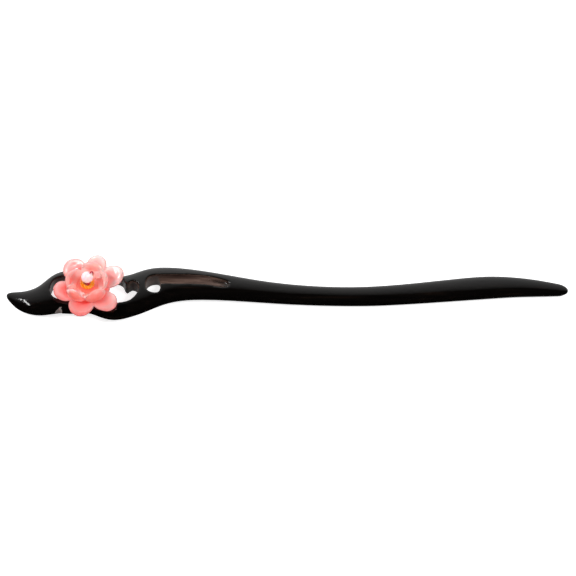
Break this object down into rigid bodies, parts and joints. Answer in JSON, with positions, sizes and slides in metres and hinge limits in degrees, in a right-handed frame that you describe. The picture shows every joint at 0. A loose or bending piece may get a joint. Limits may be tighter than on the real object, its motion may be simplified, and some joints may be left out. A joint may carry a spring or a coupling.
{
  "type": "decorative hair pin",
  "caption": "Carved wooden hair stick with a flat back, a leaf-shaped tail, pierced head and comma opening, and a layered glass flower with stamens and a bead tied to the head.",
  "frame": {"origin": "on the flat back, halfway along the pin and in the middle of its shaft: the back_flat mount", "axes": "+X along the stick from the head to the hair end, +Y to the side of the head's higher arch, +Z out of the front, where the flower faces"},
  "size_m": [0.18, 0.0234, 0.0146],
  "materials": {
    "black_wood": "hand-polished black hardwood, with brown unpolished opening walls",
    "outer_petal_glass": "milky pink lampworked glass, coral in the middle and pale at the rims",
    "inner_petal_glass": "milky coral lampworked glass, paler at the rims",
    "stamen_glass": "opaque orange-yellow glass",
    "bead_glass": "clear faceted glass",
    "thread": "waxed dark red thread"
  },
  "bodies": {
    "stick": {"hair_stick": "black_wood", "binding_thread": "thread", "back_knot": "thread"},
    "outer_flower": {"outer_hub": "outer_petal_glass", "outer_petal_1": "outer_petal_glass", "outer_petal_2": "outer_petal_glass", "outer_petal_3": "outer_petal_glass", "outer_petal_4": "outer_petal_glass", "outer_petal_5": "outer_petal_glass", "outer_petal_6": "outer_petal_glass"},
    "inner_flower": {"inner_hub": "inner_petal_glass", "inner_petal_1": "inner_petal_glass", "inner_petal_2": "inner_petal_glass", "inner_petal_3": "inner_petal_glass", "inner_petal_4": "inner_petal_glass", "inner_petal_5": "inner_petal_glass", "stamen_ring": "stamen_glass"},
    "bead": {"centre_bead": "bead_glass"}
  },
  "joints": [
    {"name": "outer_flower_turn", "type": "hinge", "parent": "stick", "child": "outer_flower", "pos_m": [-0.0638, -0.0007, 0.007], "axis": [0, 0, 1], "continuous": true},
    {"name": "inner_flower_turn", "type": "hinge", "parent": "stick", "child": "inner_flower", "pos_m": [-0.0638, -0.0007, 0.0082], "axis": [0, 0, 1], "continuous": true},
    {"name": "bead_roll", "type": "hinge", "parent": "stick", "child": "bead", "pos_m": [-0.0638, -0.0007, 0.0127], "axis": [0.5417, 0.4545, 0.7071], "continuous": true}
  ]
}
